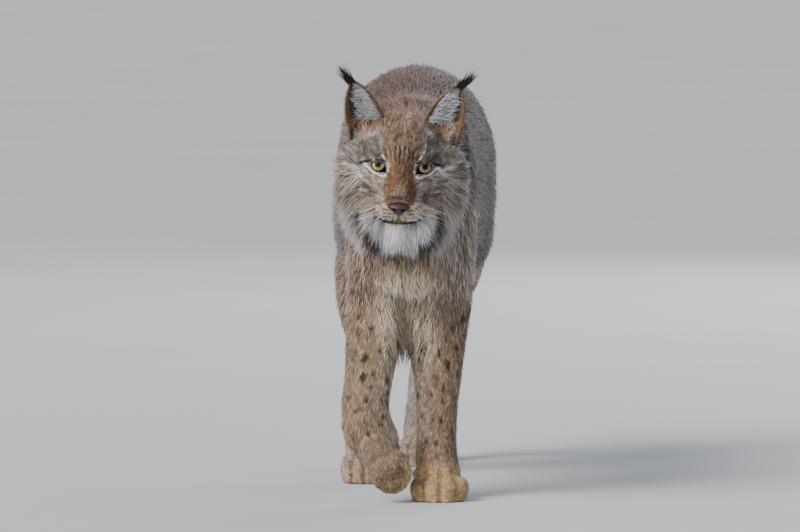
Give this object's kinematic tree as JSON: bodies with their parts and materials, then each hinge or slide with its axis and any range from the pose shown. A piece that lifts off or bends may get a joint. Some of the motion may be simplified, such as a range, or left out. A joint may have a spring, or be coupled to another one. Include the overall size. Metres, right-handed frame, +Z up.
{
  "type": "eurasian lynx",
  "caption": "Life-size eurasian lynx in winter coat, in a slow walk with a low head and the right forepaw lifted, standing on three paws.",
  "frame": {"origin": "centre of the bounding box in plan, on the floor", "axes": "-Y is the way the animal walks and looks, +X is its own left side, +Z is up"},
  "size_m": [0.2732, 1.1296, 0.7087],
  "materials": {
    "coat": "dense winter fur, grey-brown with dark spots and a pale underside",
    "ear": "short fur with long pale hair inside and a black tuft",
    "nose": "bare damp skin, red-brown",
    "eye": "glossy, yellow-green iris with a small round pupil"
  },
  "bodies": {
    "root": {"head": "coat", "nose": "nose", "eye_l": "eye", "eye_r": "eye", "ear_l": "ear", "ear_r": "ear", "neck": "coat", "torso": "coat", "foreleg_l": "coat", "foreleg_r": "coat", "forepaw_l": "coat", "forepaw_r": "coat", "hindleg_l": "coat", "hindleg_r": "coat", "hindpaw_l": "coat", "hindpaw_r": "coat", "tail": "coat"}
  },
  "joints": []
}
